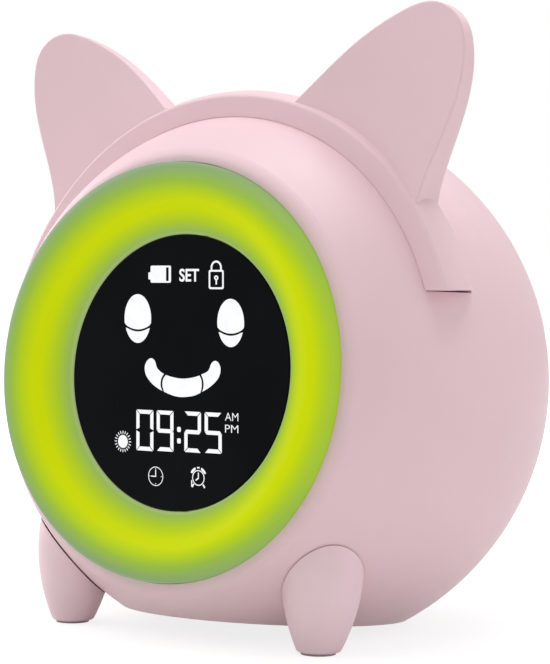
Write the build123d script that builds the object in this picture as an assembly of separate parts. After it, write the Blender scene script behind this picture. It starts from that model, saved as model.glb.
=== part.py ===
from build123d import *
import os
from math import cos, degrees, radians, sin, sqrt

# Kids alarm clock with night light: a leaning ball on two legs, with a headband of cat ears,
# a glowing ring round a display window, and a rear cover with six keys.
#
# Everything is modelled in the body frame: origin at the ball's centre, x to the right,
# y to the rear, z up the leaning body. put() then leans the clock back and stands it on z = 0.
# Lengths are millimetres and angles are degrees.

# Ball
BALL_RADIUS = 62.0
WALL = 2.4
LEAN = 4.0
FRONT_CUT = 22.0
FRONT_EDGE_FILLET = 4.2
BASE_CUT = 9.2
RIM_LIFT = 0.3
LIP_DEPTH = 3.0
LIP_THICKNESS = 1.2
LIP_FIT = 0.1

# Light ring and display window
RING_OUTER = 45.1
RING_INNER = 30.15
RING_RISE = 5.3
RING_CREST_AT = 0.70
RING_SHOULDER_AT = 0.34
RING_SHOULDER_DROP = 3.1
RING_FLANK_WIDTH = 1.0
RING_FLANK_DROP = 1.5
RING_SIDE_HEIGHT = 0.2
RING_FIT = 0.2
RING_WALL = 1.7
RING_INNER_SLOPE = 50.0
SHELF_SHARE = 0.2542
SHELF_THICKNESS = 2.7
SHELF_DEPTH = 2.8
LENS_THICKNESS = 1.9
LENS_FIT = 0.2
LENS_CHAMFER = 0.3
LENS_RECESS = 3.6

# Display and light boards
TUBE_WALL = 2.2
PANEL_FIT = 0.3
LCD_THICKNESS = 2.1
BACKLIGHT_THICKNESS = 5.8
CHASSIS_WALL = 1.8
CHASSIS_FLANGE = 2.0
CHASSIS_FIT = 0.4
CHASSIS_SCREW_GAP = 0.9
CHASSIS_SCREW_DEPTH = 4.0
TROUGH_DEPTH = 4.5
TROUGH_SHARE = 0.2207
TROUGH_WALL = 1.6
BOARD_THICKNESS = 1.2
RING_BOARD_INNER_FIT = 0.15
RING_BOARD_OUTER_FIT = 0.2
LED_COUNT = 16
LED_SIZE = (3.5, 2.8, 1.0)
LED_INSET = 0.3

# Headband and ears
BAND_FRONT = 23.9
BAND_WIDTH = 12.4
BAND_BED_DEPTH = 4.7
BAND_FRONT_RISE = 0.1
BAND_CROWN_RISE = 1.8
BAND_CROWN_SETBACK = 5.7
BAND_END_HEIGHT = 21.0
BAND_END_TILT = 5.0
BAND_POCKET_DROP = 0.97
BAND_POCKET_TILT = 2.9
BAND_FIT = 0.05
BAND_EDGE_FILLET = 0.9
EAR_ANGLE = 55.0
EAR_ROOT_DEPTH = 2.0
EAR_ROOT_HALF_ARC = 19.2
EAR_THICKNESS_LOW = 9.6
EAR_THICKNESS_TOP = 4.6
EAR_SETBACK = 0.4
EAR_DISH_RADIUS = 190.0
EAR_DISH_DEPTH = 1.75
EAR_DISH_CENTRE = (7.4, 9.2)
EAR_FRONT_FILLET = 0.35
EAR_REAR_FILLET = 1.0

# Right ear's outline (x, z), from the point of the ball's surface that the ear stands on
EAR_OUTLINE = (
    (-17.4, 9.4),
    (-3.7, 20.9),
    (8.0, 27.1),
    (16.8, 28.6),
    (22.3, 25.4),
    (24.4, 17.2),
    (22.0, 5.7),
    (15.0, -13.4),
)

# Legs and pads
LEG_X = 34.2
LEG_Y = -27.1
LEG_RADIUS = 8.75
LEG_BELLY_HEIGHT = 16.5
LEG_CALF_RADIUS = 7.1
LEG_CALF_HEIGHT = 6.6
LEG_TOE_RADIUS = 4.8
LEG_TOE_HEIGHT = 0.5
LEG_FOOT_RADIUS = 4.3
LEG_TOE_FILLET = 0.9
LEG_CROWN_RADIUS = 7.9
LEG_BLANK_HEIGHT = 32.0
LEG_SADDLE_GAP = 0.3
LEG_PEG_RADIUS = 3.0
LEG_PEG_LENGTH = 12.0
LEG_FIT = 0.05
LEG_BOSS_RADIUS = 5.5
LEG_BOSS_HEIGHT = 26.0
LEG_SCREW_LENGTH = 10.0
PEG_GAP = 0.2
PAD_RADIUS = 3.7
PAD_HEIGHT = 0.45
PAD_PLUG_RADIUS = 2.6
PAD_PLUG_DEPTH = 1.2
PAD_FIT = 0.05
REAR_PAD_LENGTH = 30.0
REAR_PAD_WIDTH = 7.0
REAR_PAD_Y = 23.5
REAR_PAD_POCKET = 1.2
REAR_PAD_BLANK = 4.0

# Rear cover, keys, speaker and charging inlet
COVER_RADIUS = 38.0
COVER_FIT = 0.15
COVER_RIM_WIDTH = 7.0
LEDGE_THICKNESS = 2.4
LEDGE_DROP = 0.4
LEDGE_OVERLAP = 0.5
KEY_NAMES = ("set", "alarm", "nap", "light", "plus", "minus")
KEY_CIRCLE = 23.0
KEY_GAP = 1.44
KEY_RADIUS = 4.5
KEY_FIT = 0.2
KEY_PROUD = 0.9
KEY_TRAVEL = 0.6
KEY_FLANGE_WIDTH = 0.8
KEY_FLANGE_THICKNESS = 0.8
KEY_GUIDE_WALL = 1.2
KEY_GUIDE_DEPTH = 8.8
KEY_STOP_GAP = 0.1
KEY_STEM_RADIUS = 1.5
KEY_EDGE_FILLET = 0.5
SWITCH_SIZE = 6.0
SWITCH_HEIGHT = 3.5
PLUNGER_RADIUS = 1.5
PLUNGER_FIT = 0.05
PLUNGER_PROUD = 1.1
PLUNGER_LENGTH = 2.5
PLUNGER_FLOOR_GAP = 0.3
KEY_BOARD_DEPTH = 16.0
KEY_BOARD_MARGIN = 6.5
KEY_BOARD_DROP = 7.0
KEY_BOARD_POST_OFFSET = 4.2
KEY_BOARD_POST_RADIUS = 2.0
GRILLE_HOLE_RADIUS = 0.9
GRILLE_PITCH = 3.4
GRILLE_ROWS = 3
SPEAKER_RADIUS = 14.0
SPEAKER_INSET = 4.8
SPEAKER_CLEARANCE = 2.2
SPEAKER_FLANGE = 1.5
SPEAKER_DEPTH = 6.7
SPEAKER_FIT = 0.1
SPEAKER_EDGE = 2.6
SPEAKER_WALL = 1.0
COLLAR_WALL = 1.5
COLLAR_LIP = 1.4
COLLAR_HEIGHT = 3.6
CONE_GAP = 0.2
CONE_PAPER = 0.6
CONE_DEPTH = 3.6
CONE_DOME_RADIUS = 4.0
MAGNET_RADIUS = 7.5
MAGNET_DEPTH = 4.5
MAGNET_BORE = 3.0
INLET_Z = -24.0
INLET_WIDTH = 8.94
INLET_HEIGHT = 3.26
INLET_LENGTH = 7.35
INLET_SHELL = 0.3
INLET_FIT = 0.25
INLET_RECESS = 0.9
INLET_BACK_WALL = 1.0
TONGUE_WIDTH = 6.7
TONGUE_THICKNESS = 0.7
TONGUE_RECESS = 0.9
INLET_BOARD = (16.0, 10.5)
INLET_BOARD_GAP = 1.1
INLET_SHELF = 1.6
INLET_SHELF_MARGIN = 1.0
INLET_SHELF_LENGTH = 13.5

# Battery and main board
CELL_SIZE = (44.0, 34.0, 8.0)
CELL_Y = 4.0
CELL_FIT = 0.3
CELL_EDGE_FILLET = 2.4
TRAY_WALL = 1.6
TRAY_STANDOFF = 1.8
TRAY_WALL_HEIGHT = 4.8
TRAY_FOOT_WIDTH = 8.0
MAIN_BOARD_RADIUS = 39.0
MAIN_BOARD_POST_INSET = 4.0
MAIN_BOARD_POST_LENGTH = 10.2
MAIN_BOARD_POST_RADIUS = 3.0
MAIN_BOARD_THICKNESS = 1.6

# Controller, sound memory, amplifier and three lead sockets: place (x, z), size (x, z) and height
BOARD_CHIPS = (
    ((0.0, 4.0), (10.0, 10.0), 1.4),
    ((-17.0, 2.0), (6.0, 5.0), 1.6),
    ((16.0, 4.0), (5.0, 4.0), 1.5),
    ((-14.0, -26.0), (8.0, 4.5), 5.5),
    ((0.0, -28.0), (8.0, 4.5), 5.5),
    ((14.0, -26.0), (8.0, 4.5), 5.5),
)

# Screws: shank radius, head radius and head height
SMALL_SCREW = (1.0, 1.9, 1.3)
LEG_SCREW = (1.5, 3.2, 1.6)
SCREW_FIT = 0.02
SCREW_CLEARANCE = 0.1
SCREW_HEAD_FIT = 0.3
SCREW_HEAD_FILLET = 0.45
SCREW_HOLE_EXTRA = 1.0
BOARD_SCREW_LENGTH = 5.5
CHASSIS_SCREW_LENGTH = 5.5
MAIN_BOARD_SCREW_LENGTH = 6.0
COVER_SCREW_LENGTH = 8.5
COVER_SCREW_SEAT = 2.5
COVER_SCREW_BOSS = 6.0
SCREW_BOSS_WALL = 1.0

# A screw's cross recess: length and width as shares of the head's radius, depth of its height
CROSS_LENGTH = 1.3
CROSS_WIDTH = 0.28
CROSS_DEPTH = 0.6

# Worked-out places
INNER_RADIUS = BALL_RADIUS - WALL
FRONT_PLANE = BALL_RADIUS - FRONT_CUT
BASE_PLANE = BALL_RADIUS - BASE_CUT
BASE_RADIUS = sqrt(BALL_RADIUS**2 - BASE_PLANE**2)
FLOOR = -(BASE_PLANE - WALL)
GROUND = -(BASE_PLANE * cos(radians(LEAN)) + BASE_RADIUS * sin(radians(LEAN)) + RIM_LIFT)
SHELF_FACE = FRONT_PLANE - SHELF_DEPTH
SHELF_BACK = SHELF_FACE - SHELF_THICKNESS
RING_WIDTH = RING_OUTER - RING_INNER
OPENING_RADIUS = RING_OUTER + RING_FIT
SHELF_RADIUS = OPENING_RADIUS - SHELF_SHARE * RING_WIDTH
RING_CREST = FRONT_PLANE + RING_RISE
LENS_FRONT = FRONT_PLANE - LENS_RECESS
LENS_BACK = LENS_FRONT - LENS_THICKNESS
LENS_RADIUS = RING_INNER - LENS_FIT
TUBE_OUTER = LENS_RADIUS
TUBE_INNER = TUBE_OUTER - TUBE_WALL
PANEL_RADIUS = TUBE_INNER - PANEL_FIT
BACKLIGHT_BACK = LENS_BACK - LCD_THICKNESS - BACKLIGHT_THICKNESS
LIGHT_FLOOR = SHELF_BACK - TROUGH_DEPTH
TROUGH_OUTER = OPENING_RADIUS - TROUGH_SHARE * RING_WIDTH
CHASSIS_RADIUS = sqrt(INNER_RADIUS**2 - SHELF_BACK**2) - CHASSIS_FIT
CHASSIS_SCREW_CIRCLE = TROUGH_OUTER + TROUGH_WALL + SMALL_SCREW[1] + CHASSIS_SCREW_GAP
LED_CIRCLE = (RING_INNER + RING_WALL + TROUGH_OUTER) / 2 - LED_INSET
MAIN_BOARD_BACK = LIGHT_FLOOR - CHASSIS_WALL - MAIN_BOARD_POST_LENGTH - MAIN_BOARD_THICKNESS
MAIN_BOARD_POST_CIRCLE = MAIN_BOARD_RADIUS - MAIN_BOARD_POST_INSET
BAND_INNER = BALL_RADIUS - BAND_BED_DEPTH
BAND_OUTER = BALL_RADIUS + BAND_FRONT_RISE
BAND_CROWN = BALL_RADIUS + BAND_CROWN_RISE
BAND_CROWN_AT = BAND_FRONT - BAND_CROWN_SETBACK
BAND_REAR = BAND_FRONT - BAND_WIDTH
BAND_REAR_RADIUS = sqrt(BALL_RADIUS**2 - BAND_REAR**2)
BAND_POCKET_HEIGHT = BAND_END_HEIGHT - BAND_POCKET_DROP
EAR_FRONT_Y = EAR_SETBACK - BAND_FRONT
EAR_ROOT_RADIUS = BALL_RADIUS - EAR_ROOT_DEPTH
EAR_ROOT_HALF_ANGLE = degrees(EAR_ROOT_HALF_ARC / EAR_ROOT_RADIUS)
LEG_BLANK_TOP = LEG_BLANK_HEIGHT - BALL_RADIUS
LEG_BOSS_TOP = LEG_BOSS_HEIGHT - BALL_RADIUS
SPEAKER_SEAT = BALL_RADIUS - SPEAKER_INSET
KEY_FLANGE_RADIUS = KEY_RADIUS + KEY_FLANGE_WIDTH
KEY_STEP_ANGLE = degrees((2 * KEY_FLANGE_RADIUS + KEY_GAP) / KEY_CIRCLE)
KEY_GUIDE_END = BALL_RADIUS - KEY_GUIDE_DEPTH
KEY_BOARD_FACE = BALL_RADIUS - KEY_BOARD_DEPTH
KEY_BOARD_INNER = SPEAKER_RADIUS + SPEAKER_CLEARANCE
KEY_BOARD_OUTER = KEY_CIRCLE + KEY_BOARD_MARGIN
PLUNGER_TOP = KEY_BOARD_FACE + SWITCH_HEIGHT + PLUNGER_PROUD
COVER_SCREW_CIRCLE = COVER_RADIUS - COVER_RIM_WIDTH / 2
LEDGE_FACE = sqrt(INNER_RADIUS**2 - (COVER_RADIUS + COVER_FIT) ** 2) - LEDGE_DROP
LEDGE_BACK = LEDGE_FACE - LEDGE_THICKNESS
LEDGE_INNER = COVER_RADIUS - COVER_RIM_WIDTH - LEDGE_OVERLAP
BIG = 6 * BALL_RADIUS

# The section plane of everything that is turned about the front axis: x is the radius
# and y is the distance ahead of the ball's centre.
FRONT_SECTION = Plane(origin=(0, 0, 0), x_dir=(1, 0, 0), z_dir=(0, 0, -1))


def turned(*outline):
    """Solid turned about the front axis from a closed outline of (radius, distance ahead)."""
    return revolve(FRONT_SECTION * make_face(Polyline(*outline, close=True)), Axis.Y)


def rod(radius, near, far, x=0.0, z=0.0):
    """Cylinder along y, between two values of y."""
    return Pos(x, (near + far) / 2, z) * Rot(90, 0, 0) * Cylinder(radius, abs(far - near))


def post(radius, bottom, top, x=0.0, y=0.0):
    """Cylinder along z, between two values of z."""
    return Pos(x, y, (bottom + top) / 2) * Cylinder(radius, top - bottom)


def block(low, high):
    """Box between two corners."""
    size = [b - a for a, b in zip(low, high)]
    middle = [(a + b) / 2 for a, b in zip(low, high)]
    return Pos(*middle) * Box(*size)


def ahead_of(distance):
    """All the space ahead of a plane across the front axis."""
    return block((-BIG, -BIG, -BIG), (BIG, -distance, BIG))


def behind(y):
    """All the space behind a plane across the front axis."""
    return block((-BIG, y, -BIG), (BIG, BIG, BIG))


def below(z):
    """All the space below a plane across the body's own up axis."""
    return block((-BIG, -BIG, -BIG), (BIG, BIG, z))


def below_level(z, tilt=LEAN):
    """All the space below a plane that is level when the body leans back by the tilt."""
    return Rot(tilt, 0, 0) * below(z)


def on_circle(circle, angle):
    """A point (x, z) on a circle round the front axis."""
    return circle * cos(radians(angle)), circle * sin(radians(angle))


def upright_screw(size, length):
    """Pan-head screw with a cross recess: its head stands on z = 0 and its shank hangs below."""
    shank, head, height = size
    top = post(head, 0, height)
    top = fillet(top.edges().sort_by(Axis.Z)[-1], SCREW_HEAD_FILLET)
    long, wide, deep = head * CROSS_LENGTH, head * CROSS_WIDTH, height * CROSS_DEPTH
    recess = Box(long, wide, 2 * deep) + Box(wide, long, 2 * deep)
    return top + post(shank, -length, 0) - Pos(0, 0, height) * recess


def screw(size, seat, length, x, z, inward):
    """Screw along y. The head stands on y = seat, and inward is the shank's direction."""
    return Pos(x, seat, z) * Rot(90 * inward, 0, 0) * upright_screw(size, length)


def mirrored(solid):
    return mirror(solid, Plane.YZ)


# ---------------------------------------------------------------- ball shell


def band_body(fit=0.0, end_height=BAND_END_HEIGHT, end_tilt=BAND_END_TILT):
    """The headband: a crowned ring above its two straight ends, grown by a fit on every face."""
    inner = BAND_INNER - fit
    front = BAND_FRONT + fit
    rear = BAND_REAR - fit
    front_corner = (BAND_OUTER + fit, front)
    rear_corner = (BAND_REAR_RADIUS + fit, rear)
    crown = ThreePointArc(rear_corner, (BAND_CROWN + fit, BAND_CROWN_AT), front_corner)
    sides = Polyline(front_corner, (inner, front), (inner, rear), rear_corner)
    ring = revolve(FRONT_SECTION * make_face([crown, sides]), Axis.Y)
    return ring - below_level(end_height, end_tilt)


def band_bed():
    """The wall stays as thick under the headband's groove as elsewhere."""
    bed = turned(
        (BAND_INNER - WALL, BAND_REAR - WALL),
        (BALL_RADIUS, BAND_REAR - WALL),
        (BALL_RADIUS, BAND_FRONT + WALL),
        (BAND_INNER - WALL, BAND_FRONT + WALL),
    )
    bed = bed & Sphere(BALL_RADIUS - WALL / 2)
    return bed - below_level(BAND_POCKET_HEIGHT - WALL, BAND_POCKET_TILT)


def rear_ledge():
    """Inner ledge that the rear cover's rim stands on."""
    ledge = turned(
        (LEDGE_INNER, -LEDGE_BACK),
        (COVER_RADIUS + 2 * WALL, -LEDGE_BACK),
        (COVER_RADIUS + 2 * WALL, -LEDGE_FACE),
        (LEDGE_INNER, -LEDGE_FACE),
    )
    return ledge & Sphere(BALL_RADIUS - WALL / 2)


def cover_screw_places():
    return [on_circle(COVER_SCREW_CIRCLE, angle) for angle in (45, 135, 225, 315)]


def chassis_screw_places():
    return [on_circle(CHASSIS_SCREW_CIRCLE, angle) for angle in (45, 135, 225, 315)]


def leg_boss(side):
    """Boss inside the shell, round the leg's peg."""
    boss = post(LEG_BOSS_RADIUS, -BALL_RADIUS, LEG_BOSS_TOP, side * LEG_X, LEG_Y)
    return boss & Sphere(BALL_RADIUS - WALL / 2)


def ball_shell():
    outer = Sphere(BALL_RADIUS) - ahead_of(FRONT_PLANE) - below(-BASE_PLANE)
    front_rim = outer.edges().filter_by(GeomType.CIRCLE).sort_by(Axis.Y)[0]
    outer = fillet(front_rim, FRONT_EDGE_FILLET)
    inner = Sphere(INNER_RADIUS) - ahead_of(SHELF_BACK) - below(FLOOR)
    shell = outer - inner + band_bed() + rear_ledge()
    for side in (-1, 1):
        shell += leg_boss(side)
        shell -= post(LEG_PEG_RADIUS + LEG_FIT, -BALL_RADIUS, LEG_BOSS_TOP + 1, side * LEG_X, LEG_Y)
    shell -= rod(OPENING_RADIUS, -SHELF_FACE, -BALL_RADIUS)
    shell -= rod(SHELF_RADIUS, -SHELF_BACK + 1, -BALL_RADIUS)
    shell -= rod(COVER_RADIUS + COVER_FIT, LEDGE_FACE, BALL_RADIUS + 1)
    shell -= band_body(BAND_FIT, BAND_POCKET_HEIGHT, BAND_POCKET_TILT)
    shell -= Pos(0, REAR_PAD_Y, -BASE_PLANE) * rear_pad_block(REAR_PAD_POCKET)
    for x, z in chassis_screw_places():
        shell -= rod(SMALL_SCREW[0] + SCREW_FIT, -SHELF_BACK + 1, -SHELF_BACK - CHASSIS_SCREW_DEPTH, x, z)
    return shell


def front_housing():
    return ball_shell() - behind(0)


def rear_housing():
    shell = ball_shell() - ahead_of(0)
    for x, z in cover_screw_places():
        shell += rod(SMALL_SCREW[1] + SCREW_BOSS_WALL, LEDGE_BACK - COVER_SCREW_BOSS, LEDGE_BACK, x, z)
        hole_end = LEDGE_FACE + COVER_SCREW_SEAT - COVER_SCREW_LENGTH - SCREW_HOLE_EXTRA / 2
        shell -= rod(SMALL_SCREW[0] + SCREW_FIT, hole_end, LEDGE_FACE + 1, x, z)
    lip = turned(
        (INNER_RADIUS - LIP_FIT - LIP_THICKNESS, -LIP_DEPTH),
        (INNER_RADIUS + LIP_FIT, -LIP_DEPTH),
        (INNER_RADIUS + LIP_FIT, 0),
        (sqrt(INNER_RADIUS**2 - LIP_DEPTH**2) - LIP_FIT, 0),
        (sqrt(INNER_RADIUS**2 - LIP_DEPTH**2) - LIP_FIT, LIP_DEPTH),
        (INNER_RADIUS - LIP_FIT - LIP_THICKNESS, LIP_DEPTH),
    )
    return shell + (lip - below(FLOOR + LIP_FIT))


# ---------------------------------------------------------------- headband with ears


def from_ear_foot(offset):
    """A point (x, z), given from the place of the ball's surface that the right ear stands on."""
    foot = on_circle(BALL_RADIUS, EAR_ANGLE)
    return foot[0] + offset[0], foot[1] + offset[1]


def ear_blank():
    """Right ear before its dish: the outline drawn back from near the band's front, thinner at the tip."""
    spread = (-EAR_ROOT_HALF_ANGLE, 0, EAR_ROOT_HALF_ANGLE)
    root = [on_circle(EAR_ROOT_RADIUS, EAR_ANGLE + turn) for turn in spread]
    rim = [from_ear_foot(point) for point in EAR_OUTLINE]
    outline = [Line(root[2], rim[0]), Spline(*rim), Line(rim[-1], root[0]), ThreePointArc(*root)]
    face = Plane(origin=(0, EAR_FRONT_Y, 0), x_dir=(1, 0, 0), z_dir=(0, -1, 0)) * make_face(outline)
    blank = extrude(face, -EAR_THICKNESS_LOW)
    low = rim[-1][1]
    top = max(z for x, z in rim)
    slope = (EAR_THICKNESS_TOP - EAR_THICKNESS_LOW) / (top - low)
    rear_at_floor = -BAND_FRONT + EAR_THICKNESS_LOW - slope * low
    rear_far_up = rear_at_floor + slope * 2 * top
    slope_line = ((rear_at_floor, 0), (rear_far_up, 2 * top))
    rear_wedge = make_face(Polyline(*slope_line, (BALL_RADIUS, 2 * top), (BALL_RADIUS, 0), close=True))
    return blank - extrude(Plane.YZ * rear_wedge, BIG / 2)


def ear():
    blank = ear_blank()
    rear_outline = blank.edges().filter_by(GeomType.BSPLINE).sort_by(Axis.Y)[-1]
    blank = fillet(rear_outline, EAR_REAR_FILLET)
    x, z = from_ear_foot(EAR_DISH_CENTRE)
    dish_y = EAR_FRONT_Y + EAR_DISH_DEPTH - EAR_DISH_RADIUS
    dished = blank - Pos(x, dish_y, z) * Sphere(EAR_DISH_RADIUS)
    front_outline = dished.edges().filter_by(GeomType.BSPLINE).sort_by(Axis.Y)[0]
    return fillet(front_outline, EAR_FRONT_FILLET)


def ear_band():
    band = band_body()
    front_edge = band.edges().filter_by(GeomType.CIRCLE).sort_by(Axis.Y)
    outer_front = [e for e in front_edge if abs(e.radius - BAND_OUTER) < 0.01]
    band = fillet(outer_front, BAND_EDGE_FILLET)
    right = ear()
    return band + right + mirrored(right)


# ---------------------------------------------------------------- light ring and display


def ring_curve(inset):
    """Front curve of the light ring's section, moved inwards by an inset."""
    crest = RING_CREST - inset
    start = (RING_INNER + inset, LENS_FRONT - inset / 2)
    shoulder = (RING_INNER + RING_SHOULDER_AT * RING_WIDTH + inset / 2, crest - RING_SHOULDER_DROP)
    top = (RING_INNER + RING_CREST_AT * RING_WIDTH - inset / 4, crest)
    flank = (RING_OUTER - inset - RING_FLANK_WIDTH, crest - RING_FLANK_DROP)
    end = (RING_OUTER - inset, FRONT_PLANE + RING_SIDE_HEIGHT)
    slope = radians(RING_INNER_SLOPE)
    return Spline(start, shoulder, top, flank, end, tangents=[(cos(slope), sin(slope)), (0, -1)])


def light_ring():
    """Bulging hollow diffuser, open behind, with a skirt down to the light board."""
    outside = ring_curve(0)
    inside = ring_curve(RING_WALL)
    board_face = LIGHT_FLOOR + BOARD_THICKNESS
    foot = Polyline(outside @ 1, (RING_OUTER, SHELF_FACE), (RING_OUTER - RING_WALL, SHELF_FACE), inside @ 1)
    skirt = Polyline(inside @ 0, (RING_INNER + RING_WALL, board_face), (RING_INNER, board_face), outside @ 0)
    return revolve(FRONT_SECTION * make_face([outside, foot, inside, skirt]), Axis.Y)


def display_lens():
    lens = rod(LENS_RADIUS, -LENS_FRONT, -LENS_BACK)
    return chamfer(lens.edges().sort_by(Axis.Y)[0], LENS_CHAMFER)


def lcd_panel():
    return rod(PANEL_RADIUS, -LENS_BACK, -LENS_BACK + LCD_THICKNESS)


def backlight_block():
    return rod(PANEL_RADIUS, -LENS_BACK + LCD_THICKNESS, -BACKLIGHT_BACK)


def display_chassis():
    """Tube for the display, trough for the ring's light board, and a flange under the shelf."""
    trough_back = LIGHT_FLOOR - CHASSIS_WALL
    wall = TROUGH_OUTER + TROUGH_WALL
    chassis = turned(
        (0, BACKLIGHT_BACK - CHASSIS_WALL),
        (0, BACKLIGHT_BACK),
        (TUBE_INNER, BACKLIGHT_BACK),
        (TUBE_INNER, LENS_BACK),
        (TUBE_OUTER, LENS_BACK),
        (TUBE_OUTER, LIGHT_FLOOR),
        (TROUGH_OUTER, LIGHT_FLOOR),
        (TROUGH_OUTER, SHELF_BACK),
        (CHASSIS_RADIUS, SHELF_BACK),
        (CHASSIS_RADIUS, SHELF_BACK - CHASSIS_FLANGE),
        (wall, SHELF_BACK - CHASSIS_FLANGE),
        (wall, trough_back),
        (TUBE_OUTER, trough_back),
        (TUBE_OUTER, BACKLIGHT_BACK - CHASSIS_WALL),
    )
    for x, z in main_board_post_places():
        chassis += rod(MAIN_BOARD_POST_RADIUS, -trough_back, -main_board_front(), x, z)
        hole_end = -main_board_front() - MAIN_BOARD_SCREW_LENGTH
        chassis -= rod(SMALL_SCREW[0] + SCREW_FIT, hole_end, -main_board_front(), x, z)
    through = (-SHELF_BACK - 1, -SHELF_BACK + CHASSIS_FLANGE + 1)
    for x, z in chassis_screw_places():
        chassis -= rod(SMALL_SCREW[0] + SCREW_CLEARANCE, *through, x, z)
    return chassis


def chassis_screws():
    seat = -SHELF_BACK + CHASSIS_FLANGE
    return [screw(SMALL_SCREW, seat, CHASSIS_SCREW_LENGTH, x, z, -1) for x, z in chassis_screw_places()]


def ring_board():
    low, high = LIGHT_FLOOR, LIGHT_FLOOR + BOARD_THICKNESS
    inner, outer = TUBE_OUTER + RING_BOARD_INNER_FIT, TROUGH_OUTER - RING_BOARD_OUTER_FIT
    return turned((inner, low), (inner, high), (outer, high), (outer, low))


def ring_leds():
    face = LIGHT_FLOOR + BOARD_THICKNESS
    long, wide, high = LED_SIZE
    led = Pos(LED_CIRCLE, -face - high / 2, 0) * Box(wide, high, long)
    return [Rot(0, 360 / LED_COUNT * i, 0) * led for i in range(LED_COUNT)]


# ---------------------------------------------------------------- main board and battery


def main_board_front():
    return MAIN_BOARD_BACK + MAIN_BOARD_THICKNESS


def main_board_post_places():
    return [on_circle(MAIN_BOARD_POST_CIRCLE, angle) for angle in (45, 135, 225, 315)]


def main_board():
    board = rod(MAIN_BOARD_RADIUS, -main_board_front(), -MAIN_BOARD_BACK)
    for x, z in main_board_post_places():
        board -= rod(SMALL_SCREW[0] + SCREW_CLEARANCE, -main_board_front() - 1, -MAIN_BOARD_BACK + 1, x, z)
    return board


def board_chips():
    """Chips and lead sockets on the main board's rear face."""
    back = -MAIN_BOARD_BACK
    solids = []
    for (x, z), (wide, tall), deep in BOARD_CHIPS:
        solids.append(block((x - wide / 2, back, z - tall / 2), (x + wide / 2, back + deep, z + tall / 2)))
    return solids


def main_board_screws():
    seat = -MAIN_BOARD_BACK
    return [screw(SMALL_SCREW, seat, MAIN_BOARD_SCREW_LENGTH, x, z, -1) for x, z in main_board_post_places()]


def tray_floor():
    return FLOOR + TRAY_STANDOFF


def battery_tray():
    """Open tray on two feet, with a wall round the cell."""
    half_x = CELL_SIZE[0] / 2 + CELL_FIT
    half_y = CELL_SIZE[1] / 2 + CELL_FIT
    low = tray_floor()
    top = low + TRAY_WALL + TRAY_WALL_HEIGHT
    outer = block(
        (-half_x - TRAY_WALL, CELL_Y - half_y - TRAY_WALL, low),
        (half_x + TRAY_WALL, CELL_Y + half_y + TRAY_WALL, top),
    )
    inner = block((-half_x, CELL_Y - half_y, low + TRAY_WALL), (half_x, CELL_Y + half_y, top + 1))
    tray = outer - inner
    for x in (-half_x / 2, half_x / 2):
        tray += block(
            (x - TRAY_FOOT_WIDTH / 2, CELL_Y - half_y, FLOOR),
            (x + TRAY_FOOT_WIDTH / 2, CELL_Y + half_y, low),
        )
    return tray


def battery_cell():
    """Pouch cell with rounded edges."""
    low = tray_floor() + TRAY_WALL
    cell = Pos(0, CELL_Y, low + CELL_SIZE[2] / 2) * Box(*CELL_SIZE)
    return fillet(cell.edges().filter_by(Axis.Y), CELL_EDGE_FILLET)


# ---------------------------------------------------------------- rear cover, keys and speaker


def key_angles():
    """Evenly spaced over the top of the cover."""
    count = len(KEY_NAMES)
    return [90 + KEY_STEP_ANGLE * (i - (count - 1) / 2) for i in range(count)]


def key_board_post_places():
    """Between the first two keys, the middle two and the last two."""
    angles = key_angles()
    between = [(angles[i] + angles[i + 1]) / 2 for i in (0, 2, 4)]
    return [on_circle(KEY_CIRCLE + KEY_BOARD_POST_OFFSET, angle) for angle in between]


def grille_places():
    """Hexagonal pattern of sound holes round the cover's middle."""
    places = [(0.0, 0.0)]
    for row in range(1, GRILLE_ROWS + 1):
        for i in range(6 * row):
            corner, step = divmod(i, row)
            ax, az = on_circle(row * GRILLE_PITCH, 60 * corner)
            bx, bz = on_circle(row * GRILLE_PITCH, 60 * (corner + 1))
            places.append((ax + (bx - ax) * step / row, az + (bz - az) * step / row))
    return places


def inlet_mouth():
    """The y of the charging socket's mouth, a little inside the cover's outer face."""
    return sqrt(BALL_RADIUS**2 - INLET_Z**2) - INLET_RECESS


def rounded_bar(width, height, near, far, z):
    """Stadium-shaped bar along y."""
    face = Plane(origin=(0, near, z), x_dir=(1, 0, 0), z_dir=(0, 1, 0)) * SlotOverall(width, height)
    return extrude(face, far - near)


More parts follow.
